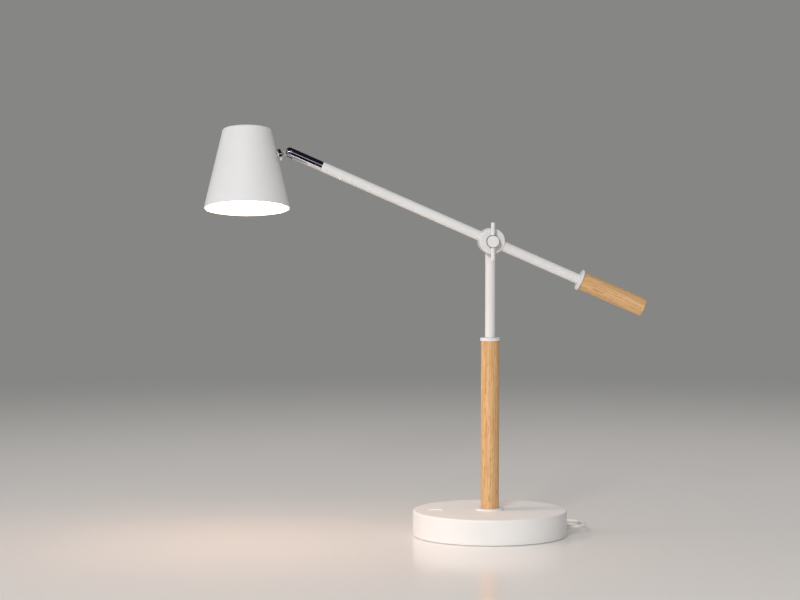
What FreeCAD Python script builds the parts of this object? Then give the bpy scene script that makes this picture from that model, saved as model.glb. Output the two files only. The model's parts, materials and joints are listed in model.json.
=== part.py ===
"""Desk lamp with a round base, a wooden post, a balanced arm and a conical shade.

Millimetres, +Z up.  The origin is the centre of the face that rests on the desk.
The arm lies over the X axis: the shade is on the -X side, the wooden handle on +X.
"""
import FreeCAD, Part
import math
import os

V = FreeCAD.Vector
ORIGIN, UP, SIDE, REAR = V(0, 0, 0), V(0, 0, 1), V(1, 0, 0), V(0, 1, 0)

# General fits
overrun = 2.0              # how far every cutting tool runs past the wall it cuts
running_gap = 0.08         # radial gap of a journal in its bush
seat_gap = 0.05            # radial gap of a pressed, screwed or glued seat
rest_gap = 0.3             # gap between faces that turn against each other
same_place = 0.01          # distance under which two centres count as one

# Base
base_diameter = 170.0
base_height = 28.0
cover_wall = 2.5
cover_top = 2.6
cover_edge_round = 1.6
pad_diameter = 167.0
pad_thickness = 0.8
plate_thickness = 1.2
plate_side_gap = 0.4
weight_thickness = 9.0
weight_side_gap = 3.0
boss_diameter = 8.0
boss_inset = 11.0          # from the base's edge to a screw's axis
boss_count = 4
boss_hole_gap = 0.5
base_screw_diameter = 3.0
base_screw_length = 9.0
base_screw_head = 5.6

# Touch control on the base
touch_inset = 23.0         # from the base's edge to the touch mark's middle
touch_diameter = 20.0
touch_depth = 1.0
electrode_diameter = 17.0
electrode_thickness = 0.4
window_gap = 2.5
contact_diameter = 2.4

# Control board in the base
board_length = 46.0
board_width = 40.0
board_thickness = 1.6
board_drop = 6.6
standoff_diameter = 5.0
standoff_inset = 4.5
coil_block = 9.0
coil_block_height = 4.6
capacitor_diameter = 5.0
capacitor_length = 11.0
chip_length = 6.0
chip_width = 5.0
chip_height = 1.2
header_length = 8.0
header_width = 4.0
header_height = 4.2

# Wooden post
flange_diameter = 31.0
flange_thickness = 2.0
flange_round = 0.7
sleeve_diameter = 20.0
sleeve_length = 185.0
sleeve_edge = 0.4
sleeve_bore_gap = 0.2
core_diameter = 12.0
core_wall = 1.2
collar_diameter = 22.0
collar_thickness = 3.3
collar_round = 0.6
collar_skirt_diameter = 15.6
collar_skirt_length = 12.0
nut_across_flats = 18.0
nut_thickness = 5.0
washer_diameter = 24.0
washer_thickness = 1.5
core_tail = 1.0

# Swivel of the steel post
swivel_diameter = 8.0
swivel_bore = 4.0
bush_length = 28.0
spindle_plug_length = 24.0
clip_thickness = 0.8
clip_depth = 0.6
clip_stand = 0.6
clip_mouth = 2.4

# Steel post and pivot
post_diameter = 11.0
post_wall = 1.0
post_reach = 106.4         # from the post's lower end to the pivot's axis
drum_diameter = 28.0
drum_depth = 13.0
drum_round = 0.7
drum_gap = 0.6
socket_depth = 7.2
friction_diameter = 25.0
friction_side_gap = 0.05
bolt_diameter = 6.0
bolt_bore = 3.0
bolt_window = 2.6
bolt_head_diameter = 10.0
bolt_head_depth = 3.0
cap_diameter = 13.0
cap_thickness = 1.3
thrust_diameter = 11.0
thrust_thickness = 0.5
thrust_gap = 0.15
knob_diameter = 13.8
knob_length = 9.4
knob_round = 0.9
bolt_end_gap = 0.5
bar_diameter = 4.4
bar_length = 41.2
bar_round = 0.8
bar_setback = 3.1          # from the knob's front face back to the bar's axis

# Arm
arm_slope = 23.7           # degrees that the shade's end stands above level
arm_diameter = 11.0
arm_wall = 1.0
arm_length = 202.5         # from the pivot's axis to the white tube's end
handle_start = 105.0       # from the pivot's axis to the handle's collar
handle_collar_diameter = 23.0
handle_collar_thickness = 2.5
handle_collar_round = 0.6
handle_diameter = 20.0
handle_length = 75.4
handle_bore_depth = 40.0
handle_end_round = 0.8
arm_bush_length = 14.0

# Chrome barrel at the arm's end
barrel_length = 42.9
barrel_round = 5.0
barrel_spigot = 7.2
barrel_bore = 4.0
fork_setback = 5.9         # from the barrel's tip back to the fork's pin
fork_pin_diameter = 2.4
slot_width = 4.2
tongue_side_gap = 0.2
tongue_radius = 4.0
slot_bottom_gap = 0.6
neck_thickness = 4.6

# Knuckle on the shade's wall
head_roll = 12.0           # degrees that the head is turned about the arm in the photograph
head_tilt = 22.8           # degrees that it is tipped back down about the fork's pin
knuckle_reach = 14.7       # from the fork's pin to the shade's outer wall
stem_diameter = 4.6
stem_start_gap = 1.4
stem_thread = 5.8
stem_tail = 9.5
stem_bore = 2.8
joint_seat_diameter = 8.6
joint_seat_height = 1.0    # of the boss on the shade's wall under the rosette
rosette_diameter = 12.8
rosette_thickness = 3.6
rosette_round = 0.9
rosette_drop = 27.9        # from the shade's top to the rosette, along the shade's axis
knuckle_washer_diameter = 10.4
knuckle_washer_thickness = 1.0
knuckle_nut_flats = 9.0
knuckle_nut_thickness = 3.2
hollow_seat_gap = 0.6      # a flat washer bridges the hollow of the shade's wall

# Shade
shade_height = 87.0
shade_top_diameter = 52.6
shade_bottom_diameter = 93.0
shade_wall = 1.2
shade_top_round = 2.6
shade_rim_round = 0.4

# Light engine inside the shade
sink_drop = 43.0           # from the shade's top to the heat sink's upper face
sink_flange = 5.0
sink_side_gap = 0.15
sink_spigot_diameter = 62.0
sink_spigot = 6.0
sink_hole = 3.2
groove_depth = 1.2
groove_height = 2.4
groove_gap = 0.3
diffuser_wall = 1.8
diffuser_height = 17.0
diffuser_round = 2.0
led_board_diameter = 50.0
led_board_thickness = 1.6
led_length = 3.5
led_width = 2.8
led_height = 0.8
led_outer_count = 12
led_inner_count = 6
led_outer_circle_diameter = 38.0
led_inner_circle_diameter = 20.0
bracket_width = 12.0
bracket_thickness = 1.5
bracket_reach = 17.0
bracket_tail = 6.0
bracket_screw_diameter = 3.0
bracket_screw_length = 5.0
bracket_screw_head = 5.5
bracket_screw_head_height = 1.8
bracket_screw_pitch = 6.0
led_screw_circle_diameter = 29.0
led_screw_count = 3
led_screw_diameter = 2.5
led_screw_length = 5.0
led_screw_head = 4.4
led_screw_head_height = 0.7

# Leads inside the lamp
lead_diameter = 2.2
lead_end_gap = 1.5

# Lead outside the lamp
cord_diameter = 3.4
gland_height = 8.0
gland_neck = 5.4
gland_inner_flange = 7.2
gland_flange_thickness = 1.4
gland_outer_diameter = 6.6
gland_collar = 1.6
gland_reach = 7.5
gland_tip_wall = 0.6
gland_hole_gap = 0.1
coil_turns_per_layer = 2.875
coil_climb_turns = 0.5
coil_layers = 4
coil_pitch = 4.0
coil_layer_pitch = 4.0
coil_mean_diameter = 38.0
coil_lift = 1.2
coil_aside = 38.0           # from the lamp's axis to the coil's, to the right
coil_behind = 112.0         # from the lamp's axis back to the coil's
coil_centre = V(coil_aside, coil_behind, 0)
steps_per_turn = 4
tangent_step = 0.001          # part of a turn over which the coil's direction is taken
gap_samples = 12
tie_width = 7.0
tie_thickness = 0.8
tie_gap = 0.3
tie_inner_allowance = 1.1
tie_corner = 2.2

# Plug on the lead's far end
plug_aside = -8.4           # from the lamp's axis to the boot's end, to the right
plug_behind = 96.5          # from the lamp's axis back to the plug's
plug_place = V(plug_aside, plug_behind, 0)
plug_grip_length = 30.0
plug_width = 15.6
plug_height = 7.8
plug_round = 2.4
plug_boot_length = 8.0
plug_boot_wall = 1.4
plug_floor_gap = 0.3
shell_width = 12.0
shell_height = 4.5
shell_length = 14.0
shell_wall = 0.35
shell_inset = 4.0
insert_thickness = 1.9
insert_back = 0.8

# Derived heights and places
base_radius = base_diameter / 2
boss_circle_diameter = base_diameter - boss_inset * 2
touch_distance = base_radius - touch_inset
cover_under = base_height - cover_top
weight_bottom = cover_under - weight_thickness
plate_top = pad_thickness + plate_thickness
core_radius = core_diameter / 2
core_bore_radius = core_radius - core_wall
flange_top = base_height + flange_thickness
sleeve_top = flange_top + sleeve_length
collar_top = sleeve_top + collar_thickness
post_bottom = collar_top + rest_gap
pivot_height = post_bottom + post_reach
drum_radius = drum_diameter / 2
arm_offset = drum_depth + drum_gap
front_face = arm_offset + drum_depth / 2
knob_back = front_face + thrust_gap + thrust_thickness + thrust_gap
knob_face = knob_back + knob_length
bar_depth = knob_face - bar_setback
bolt_end = bar_depth - bar_diameter / 2 - bolt_end_gap
barrel_start = arm_length + rest_gap
barrel_tip = barrel_start + barrel_length
fork_distance = barrel_tip - fork_setback
barrel_radius = arm_diameter / 2
shade_angle = math.atan2(shade_bottom_diameter - shade_top_diameter, 2 * shade_height)
cord_radius = cord_diameter / 2


def rotation(axis, degrees):
    return FreeCAD.Placement(ORIGIN, FreeCAD.Rotation(axis, degrees))


def translation(x, y, z):
    return FreeCAD.Placement(V(x, y, z), FreeCAD.Rotation())


# Each body's own frame, at the pose of the photograph
arm_frame = translation(0, -arm_offset, pivot_height).multiply(rotation(REAR, arm_slope))
rolled_frame = arm_frame.multiply(rotation(SIDE, -head_roll))
head_frame = rolled_frame.multiply(translation(-fork_distance, 0, 0)).multiply(rotation(REAR, -head_tilt))


def placed(shape, frame):
    moved = shape.copy()
    moved.Placement = frame.multiply(moved.Placement)
    return moved


def rod(radius, length, start=ORIGIN, axis=UP):
    return Part.makeCylinder(radius, length, start, axis)


def drill(radius, depth, start=ORIGIN, axis=UP):
    """A cutter that runs past both ends of a hole."""
    return rod(radius, depth + overrun + overrun, start - axis * overrun, axis)


def ring(outer, inner, length, start=ORIGIN, axis=UP):
    return rod(outer, length, start, axis).cut(drill(inner, length, start, axis))


def block(length, width, height, corner):
    return Part.makeBox(length, width, height, corner)


def hexagon(across_flats, height, start, axis, hole_radius):
    """A hex nut with its bore, standing on start."""
    corner_radius = across_flats / math.sqrt(3)
    points = []
    for k in range(7):
        turn = math.radians(60 * k)
        points.append(V(corner_radius * math.cos(turn), corner_radius * math.sin(turn), 0))
    nut = Part.Face(Part.makePolygon(points)).extrude(UP * height)
    nut = nut.cut(drill(hole_radius, height))
    nut.Placement = FreeCAD.Placement(start, FreeCAD.Rotation(UP, axis))
    return nut


def round_circles(shape, size, radius, centre):
    """Rounds the circular edges that have this radius and centre."""
    edges = []
    for edge in shape.Edges:
        curve = edge.Curve
        if not isinstance(curve, Part.Circle):
            continue
        if abs(curve.Radius - radius) < same_place and (curve.Center - centre).Length < same_place:
            edges.append(edge)
    return shape.makeFillet(size, edges)


def around_z(count, start_degrees=0.0):
    for k in range(count):
        yield math.radians(start_degrees + k * 360 / count)


def polar(diameter, angle, height=0):
    return V(diameter / 2 * math.cos(angle), diameter / 2 * math.sin(angle), height)


def cone_radius(drop):
    """Outer radius of the shade at this distance below its top."""
    return shade_top_diameter / 2 + drop * math.tan(shade_angle)


def inner_cone_radius(drop):
    return cone_radius(drop) - shade_wall / math.cos(shade_angle)


# Base

def base_cover():
    height = base_height - pad_thickness
    cover = rod(base_radius, height, V(0, 0, pad_thickness))
    cover = round_circles(cover, cover_edge_round, base_radius, V(0, 0, base_height))
    hollow = rod(base_radius - cover_wall, height - cover_top + overrun, V(0, 0, pad_thickness - overrun))
    cover = cover.cut(hollow)
    boss_height = cover_under - plate_top
    bosses = []
    for angle in around_z(boss_count, 45):
        spot = polar(boss_circle_diameter, angle, plate_top)
        boss = rod(boss_diameter / 2, boss_height + cover_top / 2, spot)
        hole = rod(base_screw_diameter / 2 + seat_gap, base_screw_length + overrun, spot - UP * overrun)
        bosses.append(boss.cut(hole))
    cover = cover.fuse(bosses)
    cover = cover.cut(drill(core_radius + seat_gap, cover_top, V(0, 0, cover_under)))
    # The touch mark is a shallow round recess with a wall at 45 degrees
    half_mark = touch_diameter / 2
    mark_start = V(-touch_distance, 0, base_height - touch_depth)
    mark_length = touch_depth + overrun
    cover = cover.cut(Part.makeCone(half_mark - touch_depth, half_mark + overrun, mark_length, mark_start))
    wall_start = V(base_radius - cover_wall, 0, gland_height)
    return cover.cut(drill(gland_neck / 2 + gland_hole_gap, cover_wall, wall_start, SIDE))


def weight_plate():
    radius = base_radius - cover_wall - weight_side_gap
    start = V(0, 0, weight_bottom)
    plate = rod(radius, weight_thickness, start)
    cuts = [drill(core_radius + seat_gap, weight_thickness, start)]
    window = electrode_diameter / 2 + window_gap
    cuts.append(drill(window, weight_thickness, V(-touch_distance, 0, weight_bottom)))
    for angle in around_z(boss_count, 45):
        spot = polar(boss_circle_diameter, angle, weight_bottom)
        cuts.append(drill(boss_diameter / 2 + boss_hole_gap, weight_thickness, spot))
    return plate.cut(cuts)


def bottom_plate():
    radius = base_radius - cover_wall - plate_side_gap
    plate = rod(radius, plate_thickness, V(0, 0, pad_thickness))
    for angle in around_z(boss_count, 45):
        plate = plate.cut(screw_space(polar(boss_circle_diameter, angle, pad_thickness), seat_gap))
    return plate


def screw_space(spot, gap):
    """A countersunk screw's body, grown by gap."""
    head = base_screw_head / 2 + gap
    shank = base_screw_diameter / 2 - seat_gap + gap
    cone = Part.makeCone(head, shank, plate_thickness, spot, UP)
    return cone.fuse(rod(shank, base_screw_length, spot))


def base_screws():
    socket = base_screw_diameter / 2
    screws = []
    for angle in around_z(boss_count, 45):
        spot = polar(boss_circle_diameter, angle, pad_thickness)
        slot = block(socket * 2, socket / 2, plate_thickness / 2, spot - V(socket, socket / 4, 0))
        screws.append(screw_space(spot, 0).cut(slot))
    return Part.makeCompound(screws)


def foot_pad():
    return rod(pad_diameter / 2, pad_thickness)


def touch_electrode():
    spot = V(-touch_distance, 0, cover_under - electrode_thickness)
    return rod(electrode_diameter / 2, electrode_thickness, spot)


board_top = weight_bottom - board_drop
board_bottom = board_top - board_thickness
board_left = -touch_distance - board_length / 4


def touch_contact():
    height = cover_under - electrode_thickness - board_top
    barrel = rod(contact_diameter / 2, height * 2 / 3, V(-touch_distance, 0, board_top))
    plunger = rod(contact_diameter / 3, height, V(-touch_distance, 0, board_top))
    return barrel.fuse(plunger)


def control_board():
    corner = V(board_left, -board_width / 2, board_bottom)
    return block(board_length, board_width, board_thickness, corner)


def board_standoffs():
    pillars = []
    for x in (board_left + standoff_inset, board_left + board_length - standoff_inset):
        for y in (-board_width / 2 + standoff_inset, board_width / 2 - standoff_inset):
            pillars.append(rod(standoff_diameter / 2, board_drop, V(x, y, board_top)))
    return Part.makeCompound(pillars)


def board_components():
    """Choke, capacitor, controller and lead header on the board's upper face."""
    quarter = board_width / 4
    middle = board_left + board_length / 2
    choke = block(coil_block, coil_block, coil_block_height, V(middle, quarter - coil_block / 2, board_top))
    lying = V(middle, -quarter, board_top + capacitor_diameter / 2)
    capacitor = rod(capacitor_diameter / 2, capacitor_length, lying, SIDE)
    chip_corner = V(board_left + standoff_inset * 2, quarter - chip_width / 2, board_top)
    chip = block(chip_length, chip_width, chip_height, chip_corner)
    header_corner = V(board_left + board_length - header_width, -header_length / 2, board_top)
    header = block(header_width, header_length, header_height, header_corner)
    return Part.makeCompound([choke, capacitor, chip, header])


def clamp_washer():
    start = V(0, 0, weight_bottom - washer_thickness)
    return ring(washer_diameter / 2, core_radius + seat_gap, washer_thickness, start)


def clamp_nut():
    start = V(0, 0, weight_bottom - washer_thickness - nut_thickness)
    return hexagon(nut_across_flats, nut_thickness, start, UP, core_radius + seat_gap)


# Wooden post

core_bottom = weight_bottom - washer_thickness - nut_thickness - core_tail


def core_tube():
    length = sleeve_top - rest_gap - core_bottom
    return ring(core_radius, core_bore_radius, length, V(0, 0, core_bottom))


def post_flange():
    flange = rod(flange_diameter / 2, flange_thickness, V(0, 0, base_height))
    flange = round_circles(flange, flange_round, flange_diameter / 2, V(0, 0, flange_top))
    return flange.cut(drill(core_radius + seat_gap, flange_thickness, V(0, 0, base_height)))


def wood_sleeve():
    radius = sleeve_diameter / 2
    sleeve = rod(radius, sleeve_length, V(0, 0, flange_top))
    sleeve = round_circles(sleeve, sleeve_edge, radius, V(0, 0, flange_top))
    sleeve = round_circles(sleeve, sleeve_edge, radius, V(0, 0, sleeve_top))
    bore = drill(core_radius + sleeve_bore_gap, sleeve_length, V(0, 0, flange_top))
    mouth_depth = collar_skirt_length + rest_gap
    mouth_radius = collar_skirt_diameter / 2 + sleeve_bore_gap
    mouth = rod(mouth_radius, mouth_depth + overrun, V(0, 0, sleeve_top - mouth_depth))
    return sleeve.cut([bore, mouth])


def top_collar():
    disc = rod(collar_diameter / 2, collar_thickness, V(0, 0, sleeve_top))
    disc = round_circles(disc, collar_round, collar_diameter / 2, V(0, 0, collar_top))
    skirt_start = V(0, 0, sleeve_top - collar_skirt_length)
    skirt = rod(collar_skirt_diameter / 2, collar_skirt_length, skirt_start)
    thread = rod(core_radius + seat_gap, collar_skirt_length + overrun, skirt_start - UP * overrun)
    throat = drill(swivel_diameter / 2 + rest_gap, collar_thickness, V(0, 0, sleeve_top))
    return disc.fuse(skirt).cut([thread, throat])


bush_top = sleeve_top - rest_gap - rest_gap
bush_bottom = bush_top - bush_length


def swivel_bush():
    outer = core_bore_radius - seat_gap
    return ring(outer, swivel_diameter / 2 + running_gap, bush_length, V(0, 0, bush_bottom))


# Steel post

clip_bottom = bush_bottom - rest_gap - clip_thickness
swivel_bottom = clip_bottom - clip_stand


def swivel_spindle():
    journal = rod(swivel_diameter / 2, post_bottom - swivel_bottom, V(0, 0, swivel_bottom))
    plug = rod(post_diameter / 2 - post_wall - seat_gap, spindle_plug_length, V(0, 0, post_bottom))
    groove = ring(swivel_diameter, swivel_diameter / 2 - clip_depth, clip_thickness, V(0, 0, clip_bottom))
    length = post_bottom + spindle_plug_length - swivel_bottom
    bore = drill(swivel_bore / 2, length, V(0, 0, swivel_bottom))
    return journal.fuse(plug).cut([groove, bore])


def spring_clip(inner, outer, thickness, start, axis):
    """A retaining ring with a mouth on its upper or rear side."""
    clip = ring(outer, inner, thickness - seat_gap * 2, start + axis * seat_gap, axis)
    mouth_corner = V(-clip_mouth / 2, 0, -overrun)
    mouth = block(clip_mouth, outer + overrun, thickness + overrun + overrun, mouth_corner)
    mouth.Placement = FreeCAD.Placement(start, FreeCAD.Rotation(UP, axis))
    return clip.cut(mouth)


def swivel_clip():
    inner = swivel_diameter / 2 - clip_depth + seat_gap
    outer = core_bore_radius - rest_gap
    return spring_clip(inner, outer, clip_thickness, V(0, 0, clip_bottom), UP)


post_top = pivot_height - drum_radius + socket_depth


def post_tube():
    radius = post_diameter / 2
    return ring(radius, radius - post_wall, post_top - post_bottom, V(0, 0, post_bottom))


def drum(front):
    """A drum on the Y axis, centred on the origin, with its front edge at -Y rounded."""
    shape = rod(drum_radius, drum_depth, V(0, -drum_depth / 2, 0), REAR)
    side = -drum_depth / 2 if front else drum_depth / 2
    return round_circles(shape, drum_round, drum_radius, V(0, side, 0))


def rear_drum():
    hub = drum(False)
    half_depth = drum_depth / 2
    socket_length = socket_depth + overrun + seat_gap
    socket = rod(post_diameter / 2 + seat_gap, socket_length, V(0, 0, -drum_radius - overrun))
    passage = rod(swivel_bore / 2, drum_radius, V(0, 0, -drum_radius))
    bolt_hole = drill(bolt_diameter / 2 + seat_gap, drum_depth, V(0, -half_depth, 0), REAR)
    recess_depth = cap_thickness + bolt_head_depth
    head_start = V(0, half_depth - recess_depth, 0)
    head_space = rod(bolt_head_diameter / 2 + seat_gap, recess_depth + overrun, head_start, REAR)
    cap_start = V(0, half_depth - cap_thickness, 0)
    cap_space = rod(cap_diameter / 2 + seat_gap, cap_thickness + overrun, cap_start, REAR)
    hub = hub.cut([socket, passage, bolt_hole, head_space, cap_space])
    return placed(hub, translation(0, 0, pivot_height))


def pivot_bolt():
    head_back = drum_depth / 2 - cap_thickness
    head_front = head_back - bolt_head_depth
    head = rod(bolt_head_diameter / 2, bolt_head_depth - seat_gap, V(0, head_front, 0), REAR)
    shank = rod(bolt_diameter / 2, head_front + bolt_end, V(0, -bolt_end, 0), REAR)
    bore_length = bolt_end + overrun + bolt_bore / 2
    bore = rod(bolt_bore / 2, bore_length, V(0, -bolt_end - overrun, 0), REAR)
    lower_window = rod(bolt_window / 2, bolt_diameter, V(0, 0, -bolt_diameter))
    bolt = head.fuse(shank).cut([bore, lower_window])
    side_window = rod(bolt_window / 2, bolt_diameter, V(-bolt_diameter, 0, 0), SIDE)
    side_window = placed(side_window, translation(0, -arm_offset, 0).multiply(rotation(REAR, arm_slope)))
    return placed(bolt.cut(side_window), translation(0, 0, pivot_height))


def hub_cap():
    start = V(0, drum_depth / 2 - cap_thickness, pivot_height)
    return rod(cap_diameter / 2, cap_thickness, start, REAR)


def friction_disc():
    thickness = drum_gap - friction_side_gap * 2
    start = V(0, -drum_depth / 2 - drum_gap + friction_side_gap, pivot_height)
    return ring(friction_diameter / 2, bolt_diameter / 2 + running_gap, thickness, start, REAR)


# Clamp knob

def on_pivot(shape):
    return placed(shape, translation(0, 0, pivot_height))


def thrust_washer():
    start = V(0, -front_face - thrust_gap - thrust_thickness, 0)
    bore_radius = bolt_diameter / 2 + running_gap
    return on_pivot(ring(thrust_diameter / 2, bore_radius, thrust_thickness, start, REAR))


def clamp_knob():
    radius = knob_diameter / 2
    knob = rod(radius, knob_length, V(0, -knob_face, 0), REAR)
    knob = round_circles(knob, knob_round, radius, V(0, -knob_face, 0))
    thread_depth = bolt_end - knob_back + bolt_end_gap / 2
    thread_start = V(0, -knob_back - thread_depth, 0)
    thread = rod(bolt_diameter / 2 + running_gap, thread_depth + overrun, thread_start, REAR)
    cross = drill(bar_diameter / 2 + seat_gap, knob_diameter, V(0, -bar_depth, -radius))
    return on_pivot(knob.cut([thread, cross]))


def cross_bar():
    radius = bar_diameter / 2
    low = V(0, -bar_depth, -bar_length / 2)
    high = V(0, -bar_depth, bar_length / 2)
    bar = rod(radius, bar_length, low)
    bar = round_circles(bar, bar_round, radius, low)
    return on_pivot(round_circles(bar, bar_round, radius, high))


# Arm, drawn along X with the pivot at the origin

def front_drum():
    hub = drum(True)
    bolt_hole = drill(bolt_diameter / 2 + running_gap, drum_depth, V(0, -drum_depth / 2, 0), REAR)
    reach = socket_depth + overrun
    radius = arm_diameter / 2 + seat_gap
    left = rod(radius, reach, V(-drum_radius - overrun, 0, 0), SIDE)
    right = rod(radius, reach, V(drum_radius - socket_depth, 0, 0), SIDE)
    passage = rod(bolt_bore / 2, drum_radius, V(-drum_radius, 0, 0), SIDE)
    return placed(hub.cut([bolt_hole, left, right, passage]), arm_frame)


socket_floor = drum_radius - socket_depth


def arm_tube():
    radius = arm_diameter / 2
    length = arm_length - socket_floor
    return placed(ring(radius, radius - arm_wall, length, V(-arm_length, 0, 0), SIDE), arm_frame)


wood_start = handle_start + handle_collar_thickness


def handle_tube():
    radius = arm_diameter / 2
    length = wood_start + handle_bore_depth - socket_floor
    return placed(ring(radius, radius - arm_wall, length, V(socket_floor, 0, 0), SIDE), arm_frame)


def handle_collar():
    radius = handle_collar_diameter / 2
    collar = rod(radius, handle_collar_thickness, V(handle_start, 0, 0), SIDE)
    collar = round_circles(collar, handle_collar_round, radius, V(handle_start, 0, 0))
    hole = drill(arm_diameter / 2 + seat_gap, handle_collar_thickness, V(handle_start, 0, 0), SIDE)
    return placed(collar.cut(hole), arm_frame)


def wood_handle():
    radius = handle_diameter / 2
    grip = rod(radius, handle_length, V(wood_start, 0, 0), SIDE)
    grip = round_circles(grip, handle_end_round, radius, V(wood_start + handle_length, 0, 0))
    bore_length = handle_bore_depth + rest_gap + overrun
    bore = rod(arm_diameter / 2 + sleeve_bore_gap, bore_length, V(wood_start - overrun, 0, 0), SIDE)
    return placed(grip.cut(bore), arm_frame)


def arm_bush():
    outer = arm_diameter / 2 - arm_wall - seat_gap
    inner = barrel_spigot / 2 + running_gap
    return placed(ring(outer, inner, arm_bush_length, V(-arm_length, 0, 0), SIDE), arm_frame)


# Chrome barrel, in the arm's directions

barrel_clip_start = -arm_length + arm_bush_length + rest_gap


def barrel():
    length = barrel_tip - barrel_start
    body = rod(barrel_radius, length, V(-barrel_tip, 0, 0), SIDE)
    body = round_circles(body, barrel_round, barrel_radius, V(-barrel_tip, 0, 0))
    spigot_end = barrel_clip_start + clip_thickness + clip_stand
    spigot_start = V(-barrel_start - overrun, 0, 0)
    spigot = rod(barrel_spigot / 2, spigot_end - spigot_start.x, spigot_start, SIDE)
    groove_floor = barrel_spigot / 2 - clip_depth
    groove = ring(barrel_spigot, groove_floor, clip_thickness, V(barrel_clip_start, 0, 0), SIDE)
    slot_back = -fork_distance + tongue_radius + slot_bottom_gap
    slot_length = slot_back + barrel_tip + overrun
    slot_height = barrel_radius + overrun + tongue_radius + slot_bottom_gap - seat_gap
    slot_corner = V(-barrel_tip - overrun, -slot_width / 2, -barrel_radius - overrun)
    slot = block(slot_length, slot_width, slot_height, slot_corner)
    pin_start = V(-fork_distance, -barrel_radius, 0)
    pin_hole = drill(fork_pin_diameter / 2 + seat_gap, arm_diameter, pin_start, REAR)
    bore = drill(barrel_bore / 2, spigot_end - slot_back, V(slot_back, 0, 0), SIDE)
    return placed(body.fuse(spigot).cut([groove, slot, pin_hole, bore]), rolled_frame)


def fork_pin():
    half = math.sqrt(barrel_radius ** 2 - (fork_pin_diameter / 2) ** 2) - seat_gap
    return placed(rod(fork_pin_diameter / 2, half + half, V(-fork_distance, -half, 0), REAR), rolled_frame)


def barrel_clip():
    inner = barrel_spigot / 2 - clip_depth + seat_gap
    outer = arm_diameter / 2 - arm_wall - rest_gap
    return placed(spring_clip(inner, outer, clip_thickness, V(barrel_clip_start, 0, 0), SIDE), rolled_frame)


# Head, drawn upright with the fork's pin at the origin and the shade on -X

outward = V(-math.cos(shade_angle), 0, -math.sin(shade_angle))     # from the pin to the wall
down_wall = V(math.sin(shade_angle), 0, -math.cos(shade_angle))    # down the shade's wall
wall_point = outward * knuckle_reach
shade_axis_x = wall_point.x - cone_radius(rosette_drop)
shade_top_z = wall_point.z + rosette_drop
shade_bottom_z = shade_top_z - shade_height


def at_drop(drop):
    """The point of the shade's axis at this distance below its top."""
    return V(shade_axis_x, 0, shade_top_z - drop)


def shade_shell():
    outer = Part.makeCone(shade_bottom_diameter / 2, shade_top_diameter / 2, shade_height)
    outer = round_circles(outer, shade_top_round, shade_top_diameter / 2, V(0, 0, shade_height))
    bottom = inner_cone_radius(shade_height + overrun)
    top = inner_cone_radius(shade_wall)
    inner_top = V(0, 0, shade_height - shade_wall)
    inner = Part.makeCone(bottom, top, shade_height - shade_wall + overrun, V(0, 0, -overrun), UP)
    inner = round_circles(inner, shade_top_round - shade_wall, top, inner_top)
    shell = outer.cut(inner)
    shell = round_circles(shell, shade_rim_round, shade_bottom_diameter / 2, ORIGIN)
    shell.Placement = FreeCAD.Placement(V(shade_axis_x, 0, shade_bottom_z), FreeCAD.Rotation())
    hole_radius = stem_thread / 2 + sleeve_bore_gap
    seat_start = knuckle_reach - joint_seat_height
    seat_length = joint_seat_height + shade_wall / 2
    seat = rod(joint_seat_diameter / 2, seat_length, outward * seat_start, outward)
    hole_depth = joint_seat_height + shade_wall + hollow_seat_gap
    hole = drill(hole_radius, hole_depth, outward * seat_start, outward)
    return placed(shell.fuse(seat).cut(hole), head_frame)


rosette_front = knuckle_reach - joint_seat_height - rosette_thickness


def rosette():
    disc = rod(rosette_diameter / 2, rosette_thickness, ORIGIN, UP)
    disc = round_circles(disc, rosette_round, rosette_diameter / 2, ORIGIN)
    disc = disc.cut(drill(stem_thread / 2 + seat_gap, rosette_thickness))
    disc.Placement = FreeCAD.Placement(outward * rosette_front, FreeCAD.Rotation(UP, outward))
    return placed(disc, head_frame)


def knuckle():
    half = slot_width / 2 - tongue_side_gap
    eye = rod(tongue_radius - seat_gap, half + half, V(0, -half, 0), REAR)
    stem_start = barrel_radius + stem_start_gap
    neck = block(neck_thickness, half + half, stem_start + overrun, V(-neck_thickness / 2, -half, 0))
    neck.Placement = FreeCAD.Placement(ORIGIN, FreeCAD.Rotation(UP, outward))
    stem_length = rosette_front - stem_start + overrun
    stem = rod(stem_diameter / 2, stem_length, outward * stem_start, outward)
    thread_length = knuckle_reach - rosette_front + stem_tail
    thread = rod(stem_thread / 2, thread_length, outward * rosette_front, outward)
    pin_hole = drill(fork_pin_diameter / 2 + running_gap, half + half, V(0, -half, 0), REAR)
    wire_start = outward * (tongue_radius + fork_pin_diameter / 2)
    wire_length = knuckle_reach + stem_tail
    bore = rod(stem_bore / 2, wire_length, wire_start, outward)
    return placed(eye.fuse([neck, stem, thread]).cut([pin_hole, bore]), head_frame)


inside_wall = knuckle_reach + shade_wall + hollow_seat_gap      # from the pin to the bracket's face
washer_start = inside_wall + bracket_thickness + seat_gap
nut_start = washer_start + knuckle_washer_thickness + seat_gap


def knuckle_washer():
    hole = stem_thread / 2 + seat_gap
    radius = knuckle_washer_diameter / 2
    washer = ring(radius, hole, knuckle_washer_thickness, outward * washer_start, outward)
    return placed(washer, head_frame)


def knuckle_nut():
    hole = stem_thread / 2 + seat_gap
    nut = hexagon(knuckle_nut_flats, knuckle_nut_thickness, outward * nut_start, outward, hole)
    return placed(nut, head_frame)


sink_top_z = shade_top_z - sink_drop


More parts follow.
